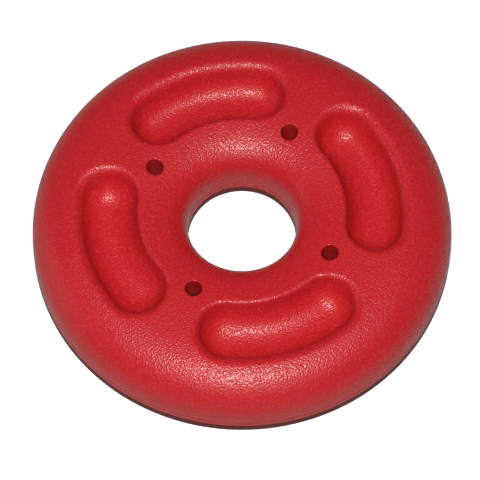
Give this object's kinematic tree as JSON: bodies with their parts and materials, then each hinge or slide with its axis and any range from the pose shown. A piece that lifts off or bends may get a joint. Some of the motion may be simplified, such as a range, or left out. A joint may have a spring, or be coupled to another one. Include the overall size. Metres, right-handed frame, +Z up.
{
  "type": "curling stone",
  "caption": "Ring-shaped moulded curling stone with a central opening, finger pockets, screw wells and a dark running sole.",
  "frame": {"origin": "centre of the ring on the underside of the running sole", "axes": "+Z up along the ring's axis, +X and +Y through the middles of two finger pockets"},
  "size_m": [0.22, 0.22, 0.036],
  "materials": {
    "red_plastic": "satin gloss with a fine orange-peel grain",
    "maroon_polymer": "smooth matte low-friction polymer",
    "cast_iron": "sand-cast skin",
    "black_steel": "black oxide",
    "zinc_steel": "zinc plated",
    "brass": "knurled and turned",
    "black_rubber": "matte"
  },
  "bodies": {
    "root": {"upper_shell": "red_plastic", "lower_shell": "red_plastic", "running_sole": "maroon_polymer", "outer_seal_ring": "black_rubber", "inner_seal_ring": "black_rubber", "ballast_weight_1": "cast_iron", "damping_pad_1": "black_rubber", "clamp_screw_1": "black_steel", "clamp_washer_1": "black_steel", "threaded_insert_1": "brass", "sole_screw_1": "zinc_steel", "ballast_weight_2": "cast_iron", "damping_pad_2": "black_rubber", "clamp_screw_2": "black_steel", "clamp_washer_2": "black_steel", "threaded_insert_2": "brass", "sole_screw_2": "zinc_steel", "ballast_weight_3": "cast_iron", "damping_pad_3": "black_rubber", "clamp_screw_3": "black_steel", "clamp_washer_3": "black_steel", "threaded_insert_3": "brass", "sole_screw_3": "zinc_steel", "ballast_weight_4": "cast_iron", "damping_pad_4": "black_rubber", "clamp_screw_4": "black_steel", "clamp_washer_4": "black_steel", "threaded_insert_4": "brass", "sole_screw_4": "zinc_steel"}
  },
  "joints": []
}
